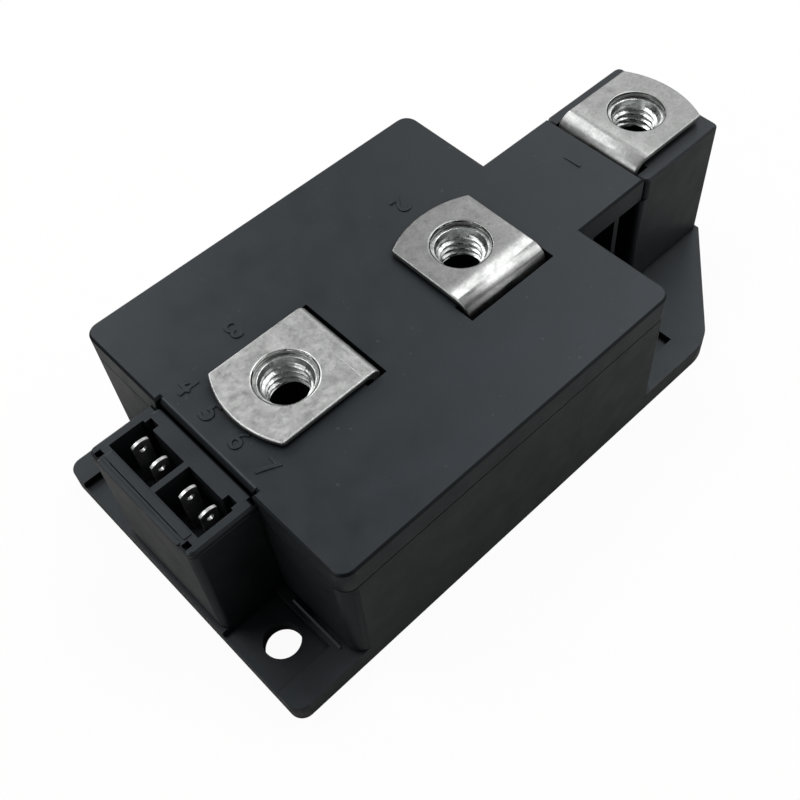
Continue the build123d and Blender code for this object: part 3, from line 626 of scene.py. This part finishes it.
# Digits beside the pins and terminals, raised by the mould. A place is the digit's middle in x and y, from
# the middle of its pin or nut, and its turn in degrees
digitLook = {
    "height": 3.4,
    "capShare": 0.69,  # height of a digit in the built-in font, as a share of the font's size
    "raise": 0.10,
    "round": 0.07,
    "roundSteps": 1,
    "curveSteps": 6,
    "gate_pin": {"4": (10.15, 2.0, -90), "5": (9.85, 0.3, -90), "6": (9.75, 0.4, -90),
                 "7": (9.65, -1.4, -90)},
    "terminal_nut": {"3": (0.4, 13.5, 180), "2": (0.0, 14.3, 180), "1": (-16.0, 0.7, 180)},
}


def digitMesh(digit, x, y, turn):
    curve = bpy.data.curves.new(f"digit_{digit}", "FONT")
    curve.body = digit
    curve.align_x = "CENTER"
    curve.align_y = "CENTER"
    curve.size = digitLook["height"] * mm / digitLook["capShare"]
    curve.extrude = digitLook["raise"] * mm
    curve.bevel_depth = digitLook["round"] * mm
    curve.bevel_resolution = digitLook["roundSteps"]
    curve.resolution_u = digitLook["curveSteps"]
    holder = bpy.data.objects.new(f"digit_{digit}_curve", curve)
    bpy.context.scene.collection.objects.link(holder)
    bpy.context.view_layer.update()
    mesh = bpy.data.meshes.new_from_object(holder)
    bpy.data.objects.remove(holder)
    place = Matrix.Translation(Vector((x, y, lidTop)) * mm)
    mesh.transform(place @ Matrix.Rotation(math.radians(turn), 4, "Z"))
    return mesh


for mark in ("gate_pin", "terminal_nut"):
    for digit, (x, y, turn) in digitLook[mark].items():
        middle = middleOf(f"{mark}_{digit}")
        mesh = digitMesh(digit, middle[0] + x, middle[1] + y, turn)
        addPiece(f"digit_{digit}", mesh, lidNylon)
print("digits set")


# Floor and light, in metres. A lamp stands lampDistance from the aim, in the direction toward. Its size is
# the width of its disc and its level the brightness of its face
studio = {
    "floorSize": 3.0,
    "floorColour": "#8c8c8a",
    "floorWhite": 0.88,  # share of plain white that the camera sees over the shaded floor
    "floorLevel": 1.08,  # strength of that white
    "worldStrength": 0.14,  # of the room as the object sees it
    "lampDistance": 0.8,
    "aim": (0.0, 0.0, 0.02),
    "lamps": {
        "overhead": {"toward": (0.48, 0.02, 0.87), "size": 0.40, "level": 5.8},
        "rightSoft": {"toward": (0.48, -0.35, 0.80), "size": 0.40, "level": 4.0},
        "leftSoft": {"toward": (-0.36, 0.42, 0.83), "size": 0.36, "level": 7.6},
        "farSoft": {"toward": (0.50, 0.47, 0.72), "size": 0.50, "level": 0.62},
        "backSoft": {"toward": (0.62, 0.43, 0.65), "size": 0.24, "level": 1.1},
        "backLow": {"toward": (0.72, 0.55, 0.35), "size": 0.50, "level": 1.0},
        "rearLow": {"toward": (0.88, -0.15, 0.42), "size": 0.45, "level": 4.0},
        "sideLow": {"toward": (0.00, 0.88, 0.45), "size": 0.50, "level": 5.2},
        "rightLow": {"toward": (0.42, -0.86, 0.24), "size": 0.45, "level": 1.5},
        "leftLow": {"toward": (-0.78, 0.06, 0.35), "size": 0.50, "level": 3.0},
    },
}
# The photograph's camera: its place in millimetres, its axes, and its lens in pixels of the 800 pixel frame
camera = {
    "place": (-76.66, -85.17, 159.87),
    "forward": (0.38610, 0.42019, -0.82120),
    "right": (0.71048, -0.70324, -0.02578),
    "focalPixels": 1085.1,
    "imageWidth": 800,
    "centre": (448.0, 397.0),
    "sensorMm": 36.0,
    "clipStart": 0.01,  # metres
}


def makeFloor():
    size = studio["floorSize"]
    grid = np.stack(np.meshgrid([-size, size], [-size, size], [0.0], indexing="ij"), -1).reshape(2, 2, 3)
    mesh = gridMesh("floor", grid)
    floor = bpy.data.objects.new("floor", mesh)
    bpy.context.scene.collection.objects.link(floor)
    material = bpy.data.materials.new("paperSweep")
    tree = clearTree(material)
    paper = addNode(tree, "BsdfDiffuse", {"Color": linear(studio["floorColour"])})
    white = addNode(tree, "Emission", {"Color": linear("#ffffff"), "Strength": studio["floorLevel"]})
    seen = addNode(tree, "LightPath", {}).outputs["Is Camera Ray"]
    share = addNode(tree, "Math", {"operation": "MULTIPLY", 0: seen, 1: studio["floorWhite"]})
    addNode(tree, "OutputMaterial", {"Surface": addNode(tree, "MixShader", {0: share, 1: paper, 2: white})})
    mesh.materials.append(material)


def makeWorld():
    # white to the camera, dim to everything else
    world = bpy.data.worlds.new("studioRoom")
    bpy.context.scene.world = world
    tree = clearTree(world)
    seen = addNode(tree, "LightPath", {}).outputs["Is Camera Ray"]
    strength = addNode(tree, "MapRange", {"Value": seen, "To Min": studio["worldStrength"], "To Max": 1.0})
    sky = addNode(tree, "Background", {"Color": linear("#ffffff"), "Strength": strength})
    addNode(tree, "OutputWorld", {"Surface": sky})


def makeLight(name, settings):
    # a soft disc whose surface has the given level: power = level * pi * area
    radius = settings["size"] / 2
    lamp = bpy.data.lights.new(name, "AREA")
    lamp.shape = "DISK"
    lamp.size = settings["size"]
    lamp.energy = settings["level"] * (math.pi * radius) ** 2
    holder = bpy.data.objects.new(name, lamp)
    toward = Vector(settings["toward"]).normalized()
    holder.location = Vector(studio["aim"]) + toward * studio["lampDistance"]
    holder.rotation_euler = toward.to_track_quat("Z", "Y").to_euler()
    bpy.context.scene.collection.objects.link(holder)


def makeCamera():
    lens = bpy.data.cameras.new("camera")
    lens.sensor_width = camera["sensorMm"]
    lens.lens = camera["focalPixels"] / camera["imageWidth"] * lens.sensor_width
    lens.shift_x = (camera["imageWidth"] / 2 - camera["centre"][0]) / camera["imageWidth"]
    lens.shift_y = (camera["centre"][1] - camera["imageWidth"] / 2) / camera["imageWidth"]
    lens.clip_start = camera["clipStart"]
    holder = bpy.data.objects.new("camera", lens)
    right = Vector(camera["right"]).normalized()
    back = -Vector(camera["forward"]).normalized()
    up = back.cross(right)
    turn = Matrix((right, up, back)).transposed().to_4x4()
    holder.matrix_world = Matrix.Translation(Vector(camera["place"]) * mm) @ turn
    bpy.context.scene.collection.objects.link(holder)
    bpy.context.scene.camera = holder


makeFloor()
makeWorld()
for name, settings in studio["lamps"].items():
    makeLight(name, settings)
makeCamera()
bpy.context.scene.view_settings.view_transform = "Standard"
print("studio ready")
